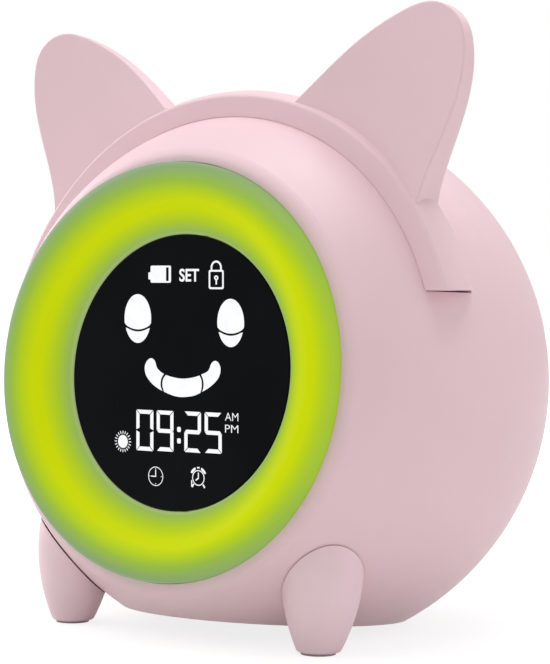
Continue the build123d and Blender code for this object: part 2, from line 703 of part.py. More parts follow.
def rear_cover():
    """Domed cover that follows the ball, with key guides, speaker seat and posts inside."""
    dome = (Sphere(BALL_RADIUS) & rod(COVER_RADIUS, 0, BALL_RADIUS + 1)) - Sphere(INNER_RADIUS)
    dome -= ahead_of(0)
    rim_inner = COVER_RADIUS - COVER_RIM_WIDTH
    rim = rod(COVER_RADIUS, LEDGE_FACE, BALL_RADIUS) - rod(rim_inner, LEDGE_FACE - 1, BALL_RADIUS + 1)
    inside = Sphere(BALL_RADIUS - WALL / 2)
    cover = dome + (rim & inside)
    seat_wall = SPEAKER_RADIUS + SPEAKER_FIT
    collar = rod(seat_wall + COLLAR_WALL, SPEAKER_SEAT - COLLAR_HEIGHT, BALL_RADIUS)
    collar -= rod(seat_wall - COLLAR_LIP, 0, BALL_RADIUS + 1)
    collar -= rod(seat_wall, 0, SPEAKER_SEAT)
    cover += collar & inside
    for angle in key_angles():
        x, z = on_circle(KEY_CIRCLE, angle)
        cover += rod(KEY_RADIUS + KEY_FIT + KEY_GUIDE_WALL, KEY_GUIDE_END, BALL_RADIUS, x, z) & inside
    for x, z in key_board_post_places():
        cover += rod(KEY_BOARD_POST_RADIUS, KEY_BOARD_FACE, BALL_RADIUS, x, z) & inside
    shelf_half = INLET_BOARD[0] / 2 + INLET_SHELF_MARGIN
    shelf_top = INLET_Z - INLET_HEIGHT / 2 - BOARD_THICKNESS
    shelf = block(
        (-shelf_half, inlet_mouth() - INLET_SHELF_LENGTH, shelf_top - INLET_SHELF),
        (shelf_half, BALL_RADIUS, shelf_top),
    )
    cover += shelf & inside
    for angle in key_angles():
        x, z = on_circle(KEY_CIRCLE, angle)
        cover -= rod(KEY_RADIUS + KEY_FIT, KEY_GUIDE_END - 1, BALL_RADIUS + 1, x, z)
        cover -= rod(KEY_FLANGE_RADIUS + KEY_FIT, KEY_BOARD_FACE, KEY_GUIDE_END, x, z)
    board_screw_hole = (KEY_BOARD_FACE - 1, KEY_BOARD_FACE + BOARD_SCREW_LENGTH)
    for x, z in key_board_post_places():
        cover -= rod(SMALL_SCREW[0] + SCREW_FIT, *board_screw_hole, x, z)
    for x, z in cover_screw_places():
        cover -= rod(SMALL_SCREW[0] + SCREW_CLEARANCE, LEDGE_FACE - 1, BALL_RADIUS, x, z)
        cover -= rod(SMALL_SCREW[1] + SCREW_HEAD_FIT, LEDGE_FACE + COVER_SCREW_SEAT, BALL_RADIUS, x, z)
    slot = (INLET_WIDTH + 2 * INLET_FIT, INLET_HEIGHT + 2 * INLET_FIT)
    cover -= rounded_bar(*slot, inlet_mouth() - INLET_LENGTH, BALL_RADIUS, INLET_Z)
    for x, z in grille_places():
        cover -= rod(GRILLE_HOLE_RADIUS, SPEAKER_SEAT - 1, BALL_RADIUS + 1, x, z)
    return cover


def cover_screws():
    seat = LEDGE_FACE + COVER_SCREW_SEAT
    return [screw(SMALL_SCREW, seat, COVER_SCREW_LENGTH, x, z, -1) for x, z in cover_screw_places()]


def key_cap(angle):
    """Domed cap, a retaining flange behind the guide, and a stem down to the switch."""
    x, z = on_circle(KEY_CIRCLE, angle)
    flange_top = KEY_GUIDE_END - KEY_STOP_GAP
    cap = rod(KEY_RADIUS, flange_top, BALL_RADIUS + 5, x, z) & Sphere(BALL_RADIUS + KEY_PROUD)
    rim = cap.edges().filter_by(GeomType.LINE, reverse=True).sort_by(Axis.Y)[-1]
    cap = fillet(rim, KEY_EDGE_FILLET)
    flange_back = flange_top - KEY_FLANGE_THICKNESS
    cap += rod(KEY_FLANGE_RADIUS, flange_back, flange_top, x, z)
    return cap + rod(KEY_STEM_RADIUS, PLUNGER_TOP, flange_back, x, z)


def plunger(angle):
    x, z = on_circle(KEY_CIRCLE, angle)
    return rod(PLUNGER_RADIUS, PLUNGER_TOP - PLUNGER_LENGTH, PLUNGER_TOP, x, z)


def switch_bodies():
    solids = []
    for angle in key_angles():
        x, z = on_circle(KEY_CIRCLE, angle)
        half = SWITCH_SIZE / 2
        body = block((-half, KEY_BOARD_FACE, -half), (half, KEY_BOARD_FACE + SWITCH_HEIGHT, half))
        body = Pos(x, 0, z) * Rot(0, -angle, 0) * body
        floor = PLUNGER_TOP - PLUNGER_LENGTH - KEY_TRAVEL - PLUNGER_FLOOR_GAP
        solids.append(body - rod(PLUNGER_RADIUS + PLUNGER_FIT, floor, BALL_RADIUS, x, z))
    return solids


def key_board():
    """Half-ring board behind the keys."""
    front = KEY_BOARD_FACE - BOARD_THICKNESS
    board = rod(KEY_BOARD_OUTER, front, KEY_BOARD_FACE) - rod(KEY_BOARD_INNER, front - 1, KEY_BOARD_FACE + 1)
    board -= below(-KEY_BOARD_DROP)
    for x, z in key_board_post_places():
        board -= rod(SMALL_SCREW[0] + SCREW_CLEARANCE, front - 1, KEY_BOARD_FACE + 1, x, z)
    return board


def key_board_screws():
    seat = KEY_BOARD_FACE - BOARD_THICKNESS
    return [screw(SMALL_SCREW, seat, BOARD_SCREW_LENGTH, x, z, 1) for x, z in key_board_post_places()]


def speaker_basket():
    """Flange and open cone of the speaker, with the cone's own space inside."""
    seat = -SPEAKER_SEAT
    back = seat + SPEAKER_DEPTH
    edge = SPEAKER_RADIUS - SPEAKER_EDGE
    return turned(
        (SPEAKER_RADIUS, seat),
        (SPEAKER_RADIUS, seat + SPEAKER_FLANGE),
        (edge + SPEAKER_WALL, seat + SPEAKER_FLANGE),
        (MAGNET_RADIUS + SPEAKER_WALL / 2, back),
        (MAGNET_BORE, back),
        (MAGNET_BORE, back - SPEAKER_WALL),
        (MAGNET_RADIUS, back - SPEAKER_WALL),
        (edge, seat + SPEAKER_WALL),
        (edge, seat),
    )


def speaker_cone():
    """Thin paper cone with its flat dust cap."""
    edge = SPEAKER_RADIUS - SPEAKER_EDGE
    rim = CONE_GAP - SPEAKER_SEAT
    cap = CONE_DEPTH - SPEAKER_SEAT
    return turned(
        (edge, rim),
        (edge, rim + CONE_PAPER),
        (CONE_DOME_RADIUS, cap),
        (0, cap),
        (0, cap - CONE_PAPER),
        (CONE_DOME_RADIUS - CONE_PAPER, cap - CONE_PAPER),
    )


def speaker_magnet():
    back = SPEAKER_SEAT - SPEAKER_DEPTH
    return rod(MAGNET_RADIUS, back - MAGNET_DEPTH, back)


def usb_socket():
    """Charging socket: a rounded metal shell with its tongue."""
    mouth = inlet_mouth()
    back = mouth - INLET_LENGTH
    inner_size = (INLET_WIDTH - 2 * INLET_SHELL, INLET_HEIGHT - 2 * INLET_SHELL)
    shell = rounded_bar(INLET_WIDTH, INLET_HEIGHT, back, mouth, INLET_Z)
    hollow = rounded_bar(*inner_size, back + INLET_BACK_WALL, mouth + 1, INLET_Z)
    tongue = block(
        (-TONGUE_WIDTH / 2, back + INLET_BACK_WALL / 2, INLET_Z - TONGUE_THICKNESS / 2),
        (TONGUE_WIDTH / 2, mouth - TONGUE_RECESS, INLET_Z + TONGUE_THICKNESS / 2),
    )
    return shell - hollow + tongue


def usb_board():
    """Small board under the charging socket, up to the cover's inner face."""
    half = INLET_BOARD[0] / 2
    top = INLET_Z - INLET_HEIGHT / 2
    rear = sqrt(INNER_RADIUS**2 - INLET_Z**2) - INLET_RECESS - INLET_BOARD_GAP
    return block((-half, rear - INLET_BOARD[1], top - BOARD_THICKNESS), (half, rear, top))


# ---------------------------------------------------------------- legs and pads


def leg(side):
    """Turned leg, saddled to the ball, with a peg through the shell and a level toe."""
    toe = (GROUND + PAD_HEIGHT + LEG_Y * sin(radians(LEAN))) / cos(radians(LEAN))
    foot = toe - LEG_TOE_RADIUS / 2
    belly = toe + LEG_BELLY_HEIGHT
    profile = make_face(
        [
            Line((0, foot), (LEG_FOOT_RADIUS, foot)),
            Line((LEG_FOOT_RADIUS, foot), (LEG_TOE_RADIUS, toe + LEG_TOE_HEIGHT)),
            ThreePointArc(
                (LEG_TOE_RADIUS, toe + LEG_TOE_HEIGHT),
                (LEG_CALF_RADIUS, toe + LEG_CALF_HEIGHT),
                (LEG_RADIUS, belly),
            ),
            TangentArc((LEG_RADIUS, belly), (LEG_CROWN_RADIUS, LEG_BLANK_TOP), tangent=(0, 1)),
            Line((LEG_CROWN_RADIUS, LEG_BLANK_TOP), (0, LEG_BLANK_TOP)),
            Line((0, LEG_BLANK_TOP), (0, foot)),
        ]
    )
    body = revolve(Plane.XZ * profile, Axis.Z)
    body = Pos(side * LEG_X, LEG_Y, 0) * body
    body -= below_level(GROUND + PAD_HEIGHT)
    body -= Sphere(BALL_RADIUS + LEG_SADDLE_GAP)
    toe_edge = body.edges().sort_by(Axis.Z)[0]
    body = fillet(toe_edge, LEG_TOE_FILLET)
    body += post(LEG_PEG_RADIUS, LEG_BOSS_TOP - LEG_PEG_LENGTH, LEG_BOSS_TOP - PEG_GAP, side * LEG_X, LEG_Y)
    hole_end = LEG_BOSS_TOP - LEG_SCREW_LENGTH - SCREW_HOLE_EXTRA
    body -= post(LEG_SCREW[0] + SCREW_FIT, hole_end, LEG_BOSS_TOP, side * LEG_X, LEG_Y)
    return body - pad_plug(side, PAD_FIT)


def pad_place(side):
    """Under the leg's axis, on the ground, in the standing clock's own level frame."""
    axis_foot = Vector(side * LEG_X, LEG_Y, GROUND)
    level = axis_foot.rotate(Axis.X, -LEAN)
    drop = level.Z - GROUND
    return Rot(LEAN, 0, 0) * Pos(side * LEG_X, level.Y - drop * sin(radians(LEAN)), GROUND)


def pad_plug(side, fit=0.0):
    height = PAD_HEIGHT + PAD_PLUG_DEPTH + fit
    return pad_place(side) * Pos(0, 0, height / 2) * Cylinder(PAD_PLUG_RADIUS + fit, height)


def foot_pad(side):
    disc = pad_place(side) * Pos(0, 0, PAD_HEIGHT / 2) * Cylinder(PAD_RADIUS, PAD_HEIGHT)
    return disc + pad_plug(side)


def leg_screws():
    one = upright_screw(LEG_SCREW, LEG_SCREW_LENGTH)
    return [Pos(side * LEG_X, LEG_Y, LEG_BOSS_TOP) * one for side in (-1, 1)]


def rear_pad_block(half_height):
    return extrude(SlotOverall(REAR_PAD_LENGTH, REAR_PAD_WIDTH), half_height, both=True)


def rear_foot_pad():
    """Soft bar let into the base, cut level so that it lies flat on the table."""
    bar = Pos(0, REAR_PAD_Y, -BASE_PLANE) * rear_pad_block(REAR_PAD_BLANK)
    above_pocket = block((-BIG, -BIG, -BASE_PLANE + REAR_PAD_POCKET), (BIG, BIG, BIG))
    return bar - above_pocket - below_level(GROUND)


# ---------------------------------------------------------------- all the pieces


def pieces():
    made = {
        "front_housing": front_housing(),
        "rear_housing": rear_housing(),
        "ear_band": ear_band(),
        "light_ring": light_ring(),
        "display_lens": display_lens(),
        "lcd_panel": lcd_panel(),
        "backlight_block": backlight_block(),
        "display_chassis": display_chassis(),
        "chassis_screws": chassis_screws(),
        "ring_board": ring_board(),
        "ring_leds": ring_leds(),
        "main_board": main_board(),
        "board_chips": board_chips(),
        "main_board_screws": main_board_screws(),
        "battery_tray": battery_tray(),
        "battery_cell": battery_cell(),
        "rear_cover": rear_cover(),
        "cover_screws": cover_screws(),
        "key_board": key_board(),
        "key_board_screws": key_board_screws(),
        "switch_bodies": switch_bodies(),
        "speaker_basket": speaker_basket(),
        "speaker_cone": speaker_cone(),
        "speaker_magnet": speaker_magnet(),
        "usb_socket": usb_socket(),
        "usb_board": usb_board(),
        "left_leg": leg(-1),
        "right_leg": leg(1),
        "left_foot_pad": foot_pad(-1),
        "right_foot_pad": foot_pad(1),
        "rear_foot_pad": rear_foot_pad(),
        "leg_screws": leg_screws(),
    }
    for name, angle in zip(KEY_NAMES, key_angles()):
        made[name + "_key"] = key_cap(angle)
        made[name + "_plunger"] = plunger(angle)
    return made


def put(shape, middle_y):
    """Leans a shape back and stands it on z = 0, with the clock's depth centred on y = 0."""
    return Pos(0, -middle_y, -GROUND) * Rot(-LEAN, 0, 0) * shape


def solids_of(shape):
    """Every piece as one compound of its solids."""
    if isinstance(shape, list):
        return Compound(children=[solid for item in shape for solid in item.solids()])
    return Compound(children=list(shape.solids()))


def main():
    os.makedirs("parts", exist_ok=True)
    made = {name: solids_of(shape) for name, shape in pieces().items()}
    boxes = [(Rot(-LEAN, 0, 0) * shape).bounding_box() for shape in made.values()]
    middle_y = (min(box.min.Y for box in boxes) + max(box.max.Y for box in boxes)) / 2
    for name, shape in made.items():
        export_step(put(shape, middle_y), f"parts/{name}.step")


main()
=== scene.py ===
from math import cos, pi, radians, sin, sqrt

import bmesh
import bpy
from mathutils import Matrix, Vector


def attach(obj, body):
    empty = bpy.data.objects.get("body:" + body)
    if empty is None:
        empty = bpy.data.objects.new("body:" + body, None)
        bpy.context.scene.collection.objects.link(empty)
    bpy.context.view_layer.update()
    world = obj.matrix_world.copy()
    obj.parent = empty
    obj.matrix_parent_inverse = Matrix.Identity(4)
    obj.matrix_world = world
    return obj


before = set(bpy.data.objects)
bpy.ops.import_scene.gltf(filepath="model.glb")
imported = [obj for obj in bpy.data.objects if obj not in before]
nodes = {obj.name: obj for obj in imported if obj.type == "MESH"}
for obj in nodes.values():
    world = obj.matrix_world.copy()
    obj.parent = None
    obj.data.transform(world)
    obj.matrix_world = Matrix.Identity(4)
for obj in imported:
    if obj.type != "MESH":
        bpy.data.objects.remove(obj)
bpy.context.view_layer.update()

# The clock's own body frame, in millimetres: x right, y back, z up the leaning ball.
LEAN = radians(4)
BALL_CENTRE = Vector((0, -0.006985, 0.055238))
MILLIMETRE = 0.001
BODY = Matrix.Translation(BALL_CENTRE) @ Matrix.Rotation(-LEAN, 4, "X") @ Matrix.Scale(MILLIMETRE, 4)

# The CAD's sizes that the painted and raised shapes follow, in millimetres and degrees.
WINDOW_FACE = 36.4
RING_INNER = 30.15
KEY_CIRCLE = 23.0
KEY_FACE_RADIUS = 62.9
KEY_ANGLES = {"set": 15, "alarm": 45, "nap": 75, "light": 105, "plus": 135, "minus": 165}


# ---------------------------------------------------------------- camera

# Fitted to the photograph: directions, place from the ball's centre in metres, and focal length
# and sensor in millimetres.
CAMERA_RIGHT = Vector((0.80555, 0.59243, 0.01044))
CAMERA_UP = Vector((-0.01757, 0.00627, 0.99983))
CAMERA_OFFSET = Vector((0.282211, -0.384741, 0.018368))
CAMERA_LENS = 112.683
CAMERA_SENSOR = 36


def make_camera():
    """Camera at the photograph's viewing angle."""
    data = bpy.data.cameras.new("camera")
    data.sensor_width = CAMERA_SENSOR
    data.lens = CAMERA_LENS
    camera = bpy.data.objects.new("camera", data)
    back = CAMERA_RIGHT.cross(CAMERA_UP)
    place = Matrix((CAMERA_RIGHT, CAMERA_UP, back)).transposed().to_4x4()
    place.translation = BALL_CENTRE + CAMERA_OFFSET
    camera.matrix_world = place
    bpy.context.scene.collection.objects.link(camera)
    bpy.context.scene.camera = camera


# ---------------------------------------------------------------- material helpers


class Nodes:
    """Short calls for building a material's node tree."""

    def __init__(self, name):
        self.material = bpy.data.materials.new(name)
        self.material.use_nodes = True
        self.tree = self.material.node_tree
        self.shader = self.tree.nodes["Principled BSDF"]

    def add(self, kind, **settings):
        node = self.tree.nodes.new(kind)
        for key, value in settings.items():
            setattr(node, key, value)
        return node

    def link(self, source, target):
        self.tree.links.new(source, target)

    def put(self, node, socket, value):
        if isinstance(value, bpy.types.NodeSocket):
            self.link(value, node.inputs[socket])
        else:
            node.inputs[socket].default_value = value

    def set(self, **values):
        for socket, value in values.items():
            self.put(self.shader, socket.replace("_", " "), value)

    def place(self):
        """Object coordinates, which are the row frame in metres."""
        return self.add("ShaderNodeTexCoord").outputs["Object"]

    def noise(self, scale, detail, roughness=0.5):
        node = self.add("ShaderNodeTexNoise")
        self.link(self.place(), node.inputs["Vector"])
        node.inputs["Scale"].default_value = scale
        node.inputs["Detail"].default_value = detail
        node.inputs["Roughness"].default_value = roughness
        return node.outputs["Fac"]

    def math(self, operation, a, b=0.0, c=0.0, clamp=False):
        node = self.add("ShaderNodeMath", operation=operation, use_clamp=clamp)
        for index, value in enumerate((a, b, c)):
            self.put(node, index, value)
        return node.outputs[0]

    def ramp(self, factor, stops):
        node = self.add("ShaderNodeValToRGB")
        elements = node.color_ramp.elements
        while len(elements) < len(stops):
            elements.new(0.5)
        for element, (position, colour) in zip(elements, stops):
            element.position = position
            element.color = (*colour, 1)
        self.link(factor, node.inputs["Fac"])
        return node.outputs["Color"]

    def mottle(self, shades, scale, detail, edge=0.3):
        """Noise between two colours. Below the edge it is all the first, above 1 - edge the second."""
        low, high = shades
        return self.ramp(self.noise(scale, detail), [(edge, low), (1 - edge, high)])

    def bump(self, height, strength, distance):
        node = self.add("ShaderNodeBump")
        node.inputs["Strength"].default_value = strength
        node.inputs["Distance"].default_value = distance
        self.link(height, node.inputs["Height"])
        self.link(node.outputs["Normal"], self.shader.inputs["Normal"])


def grey(level):
    return (level,) * 3


def varied(base, amount):
    """A slightly darker and a slightly lighter shade of a colour."""
    return [tuple(min(1, part * (1 + side * amount)) for part in base) for side in (-1, 1)]


def moulded(name, base, roughness=0.5, variation=0.02, grain=2500, depth=0.00002, strength=0.25):
    """Moulded plastic: faint colour drift, fine surface grain and uneven gloss."""
    m = Nodes(name)
    m.set(Base_Color=m.mottle(varied(base, variation), 60, 4))
    m.set(Roughness=m.mottle(varied(grey(roughness), 0.06), 180, 3))
    m.bump(m.noise(grain, 2, 0.6), strength, depth)
    return m.material


def metal(name, base, roughness=0.35):
    """Plated steel with fine scratches."""
    m = Nodes(name)
    m.set(Base_Color=m.mottle(varied(base, 0.06), 900, 3, edge=0.35), Metallic=1.0)
    m.set(Roughness=m.mottle(varied(grey(roughness), 0.2), 2200, 2))
    m.bump(m.noise(6000, 2), 0.2, 0.00001)
    return m.material


def give(names, material):
    for name in names:
        data = nodes[name].data
        data.materials.clear()
        data.materials.append(material)


# ---------------------------------------------------------------- materials of the CAD pieces

PINK = (0.80, 0.575, 0.615)
LEG_PINK = (0.86, 0.645, 0.69)

# The lit ring's colour by place. From -9 to 0 the place runs from the ring's inner edge to its
# brightest circle, whatever the distance, and from there on it is millimetres outside the circle.
# The innermost stop is raised as painted light against the shade on the ring's inner wall, and the
# outermost ones are dimmed as painted shade against the lamps' light on its outer edge.
GLOW = [
    (-9, (0.39, 0.52, 0.20)),
    (-8, (0.33, 0.50, 0.10)),
    (-5, (0.43, 0.61, 0.025)),
    (-1, (0.60, 0.71, 0.002)),
    (1, (0.60, 0.71, 0.002)),
    (3, (0.46, 0.63, 0.015)),
    (5, (0.32, 0.51, 0.06)),
    (8, (0.25, 0.38, 0.16)),
    (10, (0.28, 0.39, 0.25)),
]
# The shift and the oval are painted light: the lamps sit evenly round the ring, and the circle is painted
# off-centre as it looks from one side.
# The brightest circle, in millimetres: its radius, its shift to the right and up, how much the
# radius gains at the sides and loses at the top and bottom, and how far it wanders.
GLOW_CIRCLE = 36.95
GLOW_SHIFT = (3.0, -0.4)
GLOW_OVAL = 1.2
GLOW_DRIFT = 0.5
# How strongly the ring shines, and how much of the glow's colour is also painted into its base colour as
# painted light, so that it looks lit under any lamp.
GLOW_LEVEL = 0.72
GLOW_PAINTED_BASE = 0.30


def body_place(m):
    """Right and up on the clock's front, in millimetres from the ball's centre."""
    turn = m.add("ShaderNodeMapping", vector_type="POINT")
    m.link(m.place(), turn.inputs["Vector"])
    to_body = BODY.inverted()
    turn.inputs["Location"].default_value = to_body.translation
    turn.inputs["Rotation"].default_value = to_body.to_euler()
    turn.inputs["Scale"].default_value = to_body.to_scale()
    split = m.add("ShaderNodeSeparateXYZ")
    m.link(turn.outputs["Vector"], split.inputs["Vector"])
    return split.outputs["X"], split.outputs["Z"]


def brightest_circle(m, x, z, radius):
    """Radius of the brightest circle in this direction, shifted and oval as the photograph shows it."""
    shift = m.math("ADD", m.math("MULTIPLY", x, GLOW_SHIFT[0]), m.math("MULTIPLY", z, GLOW_SHIFT[1]))
    circle = m.math("ADD", m.math("DIVIDE", shift, radius), GLOW_CIRCLE - GLOW_OVAL)
    cosine = m.math("DIVIDE", x, radius)
    circle = m.math("MULTIPLY_ADD", m.math("MULTIPLY", cosine, cosine), 2 * GLOW_OVAL, circle)
    drift = m.math("MULTIPLY_ADD", m.noise(30, 2), 2 * GLOW_DRIFT, -GLOW_DRIFT)
    return m.math("ADD", circle, drift)


def ring_glow():
    """Lit diffuser: yellow-green on its brightest circle, dimmer and greener towards both edges. The
    glow's colours are also painted, dimmed, into its base colour.
    """
    m = Nodes("ring_glow")
    x, z = body_place(m)
    radius = m.math("SQRT", m.math("ADD", m.math("MULTIPLY", x, x), m.math("MULTIPLY", z, z)))
    circle = brightest_circle(m, x, z, radius)
    away = m.math("SUBTRACT", radius, circle)
    first, last = GLOW[0][0], GLOW[-1][0]
    inside = m.math("DIVIDE", m.math("MINIMUM", away, 0.0), m.math("SUBTRACT", circle, RING_INNER))
    place = m.math("MULTIPLY_ADD", inside, -first, m.math("MAXIMUM", away, 0.0))
    across = m.math("DIVIDE", m.math("SUBTRACT", place, first), last - first, clamp=True)
    lit = [((distance - first) / (last - first), colour) for distance, colour in GLOW]
    # Painted light: the base colour is the glow's colour, dimmed, not the diffuser's own white.
    painted_glow = [(position, tuple(GLOW_PAINTED_BASE * part for part in colour)) for position, colour in lit]
    m.set(Base_Color=m.ramp(across, painted_glow), Roughness=0.5, Specular_IOR_Level=0.05)
    m.set(Emission_Color=m.ramp(across, lit), Emission_Strength=GLOW_LEVEL)
    m.bump(m.noise(2600, 2), 0.2, 0.00001)
    return m.material


def window_black():
    """Smoked gloss window."""
    m = Nodes("window_black")
    m.set(Base_Color=m.mottle([(0.0020, 0.0024, 0.0036), (0.0038, 0.0043, 0.0062)], 40, 2))
    m.set(Roughness=m.mottle([grey(0.10), grey(0.14)], 150, 2))
    m.set(Specular_IOR_Level=0.08)
    return m.material


def dress_shell():
    paint = moulded("pink_paint", PINK, 0.46, variation=0.012, grain=3200, depth=0.000012, strength=0.3)
    give(["front_housing", "rear_housing", "ear_band", "rear_cover"], paint)
    give(["left_leg", "right_leg"], moulded("leg_pink", LEG_PINK, 0.48, variation=0.012))
    pad_pink = (0.40, 0.30, 0.31)
    rubber = moulded("pad_rubber", pad_pink, 0.78, variation=0.05, grain=4000, depth=0.00003, strength=0.4)
    give(["left_foot_pad", "right_foot_pad", "rear_foot_pad"], rubber)


def dress_front():
    give(["light_ring"], ring_glow())
    give(["display_lens"], window_black())
    give(["lcd_panel"], moulded("panel_dark", (0.012, 0.012, 0.014), 0.2))
    give(["backlight_block"], moulded("light_guide", (0.80, 0.80, 0.78), 0.4))
    give(["display_chassis", "battery_tray"], moulded("inner_plastic", (0.76, 0.76, 0.73)))
    give(["ring_leds"], moulded("lamp_body", (0.85, 0.85, 0.7), 0.3))


def dress_inside():
    boards = moulded("board_green", (0.015, 0.12, 0.05), 0.35, variation=0.15, grain=1500)
    give(["ring_board", "main_board", "key_board", "usb_board"], boards)
    black = moulded("black_plastic", (0.02, 0.02, 0.022), 0.45, variation=0.1)
    give(["board_chips", "switch_bodies", "speaker_basket"], black)
    give([key + "_plunger" for key in KEY_ANGLES], black)
    give(["speaker_cone"], moulded("paper_cone", (0.03, 0.03, 0.03), 0.9, variation=0.2, grain=900))
    screws = ["chassis_screws", "main_board_screws", "cover_screws", "key_board_screws", "leg_screws"]
    give(screws + ["speaker_magnet"], metal("zinc_plate", (0.62, 0.62, 0.64)))
    give(["battery_cell"], metal("foil_wrap", (0.72, 0.74, 0.77), 0.45))


def dress_rear():
    give(["usb_socket"], metal("socket_steel", (0.66, 0.67, 0.69), 0.25))
    white = moulded("key_white", (0.86, 0.79, 0.80), 0.42, variation=0.012)
    give([key + "_key" for key in KEY_ANGLES], white)


# ---------------------------------------------------------------- flat outlines, in millimetres


def around(centre, radius, angle):
    return centre[0] + radius * cos(angle), centre[1] + radius * sin(angle)


def oval(u, v, half_u, half_v=None, count=48, start=0.0, end=2 * pi):
    """Ellipse, or a stretch of one when the angles don't make a full turn."""
    half_v = half_u if half_v is None else half_v
    closed = end - start > 2 * pi - 1e-6
    steps = count if closed else count - 1
    angles = [start + (end - start) * i / steps for i in range(count)]
    return [(u + half_u * cos(a), v + half_v * sin(a)) for a in angles]


def box(u0, v0, u1, v1, corner=0.0):
    """Rectangle, with rounded corners if asked."""
    if not corner:
        return [(u0, v0), (u1, v0), (u1, v1), (u0, v1)]
    corners = (
        (u1 - corner, v0 + corner, -pi / 2),
        (u1 - corner, v1 - corner, 0),
        (u0 + corner, v1 - corner, pi / 2),
        (u0 + corner, v0 + corner, pi),
    )
    outline = []
    for u, v, start in corners:
        outline += oval(u, v, corner, count=7, start=start, end=start + pi / 2)
    return outline


def between(a, b, c, d, t):
    """Catmull-Rom value between b and c."""
    bend = (c - a) * t + (2 * a - 5 * b + 4 * c - d) * t * t + (3 * b - a - 3 * c + d) * t ** 3
    return 0.5 * (2 * b + bend)


def smooth(points, steps=8):
    """Smooth curve through points, from the first to the last."""
    last = len(points) - 1
    curve = []
    for i in range(last):
        near = [points[min(max(i + k, 0), last)] for k in (-1, 0, 1, 2)]
        for s in range(steps):
            curve.append(tuple(between(*values, s / steps) for values in zip(*near)))
    return curve + [points[-1]]


def stroke(points, width):
    """Outline of a line of even width through points, with flat ends."""
    left, right = [], []
    for i, (u, v) in enumerate(points):
        before = points[max(i - 1, 0)]
        after = points[min(i + 1, len(points) - 1)]
        along = Vector((after[0] - before[0], after[1] - before[1])).normalized()
        side = Vector((-along.y, along.x)) * width / 2
        left.append((u + side.x, v + side.y))
        right.append((u - side.x, v - side.y))
    return left + right[::-1]


# ---------------------------------------------------------------- raised pieces


def flat_mesh(curve):
    """Mesh of a curve or a text, which is then deleted."""
    flat = bpy.data.objects.new(curve.name + "_flat", curve)
    bpy.context.scene.collection.objects.link(flat)
    mesh = bpy.data.meshes.new_from_object(flat.evaluated_get(bpy.context.evaluated_depsgraph_get()))
    bpy.data.objects.remove(flat)
    bpy.data.curves.remove(curve)
    return mesh


def raised(name, mesh, material, to_row, thickness, body):
    """Gives a flat mesh its thickness and puts it on its surface."""
    bm = bmesh.new()
    bm.from_mesh(mesh)
    bmesh.ops.remove_doubles(bm, verts=bm.verts, dist=1e-4)
    top = bmesh.ops.extrude_face_region(bm, geom=list(bm.faces))
    lifted = {v for v in top["geom"] if isinstance(v, bmesh.types.BMVert)}
    for v in bm.verts:
        v.co.z = thickness if v in lifted else 0
        v.co = to_row(v.co)
    bmesh.ops.recalc_face_normals(bm, faces=bm.faces)
    made = bpy.data.meshes.new(name)
    bm.to_mesh(made)
    bm.free()
    made.materials.append(material)
    piece = bpy.data.objects.new(name, made)
    bpy.context.scene.collection.objects.link(piece)
    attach(piece, body)


def filled(name, outlines, material, to_row, thickness, body="clock_body"):
    """Raised shape from closed outlines. An outline inside another is a hole."""
    curve = bpy.data.curves.new(name, "CURVE")
    curve.dimensions = "2D"
    curve.fill_mode = "BOTH"
    for outline in outlines:
        spline = curve.splines.new("POLY")
        spline.points.add(len(outline) - 1)
        for point, (u, v) in zip(spline.points, outline):
            point.co = (u, v, 0, 1)
        spline.use_cyclic_u = True
    raised(name, flat_mesh(curve), material, to_row, thickness, body)


def lettering(name, text, area, weight, material, to_row, thickness, body="clock_body"):
    """Plain lettering that fills an area, given as left, right, low and high."""
    left, right, low, high = area
    font = bpy.data.curves.new(name, "FONT")
    font.body = text
    font.offset = weight
    mesh = flat_mesh(font)
    xs = [v.co.x for v in mesh.vertices]
    ys = [v.co.y for v in mesh.vertices]
    for v in mesh.vertices:
        v.co.x = left + (v.co.x - min(xs)) / (max(xs) - min(xs)) * (right - left)
        v.co.y = low + (v.co.y - min(ys)) / (max(ys) - min(ys)) * (high - low)
    raised(name, mesh, material, to_row, thickness, body)


# ---------------------------------------------------------------- display

# Places on the window are in millimetres, right and up from its middle.
GLYPH_HEIGHT = 0.03
# How far a glyph shifts to the left for each millimetre up, so that it stands upright in the picture.
WINDOW_SHEAR = 0.069
SEGMENTS = {"0": "abcdef", "2": "abged", "5": "afgcd", "9": "abfgcd"}
SEGMENT_THICK = 0.86
SEGMENT_GAP = 0.13
# Sign, and the digit's left, right, top and bottom.
DIGITS = [
    ("0", -11.44, -6.65, -8.44, -17.30),
    ("9", -5.70, -1.04, -8.39, -17.15),
    ("2", 1.98, 6.52, -8.31, -17.0),
    ("5", 7.53, 12.11, -8.27, -16.9),
]
LOWER_LID_SHARE = 0.97
EYE_GAP = 0.46
LOCK_MIDDLE = (10.71, 20.45)
LOCK_ARCH = [
    (9.45, 22.1), (9.45, 22.9), (9.75, 23.5), (10.25, 23.85), (10.71, 23.93),
    (11.17, 23.85), (11.67, 23.5), (11.97, 22.9), (11.97, 22.1),
]
SUN = (-15.30, -15.6)
SUN_RAYS = 20
CLOCK = (-5.99, -22.67)
ALARM = (5.80, -22.33)

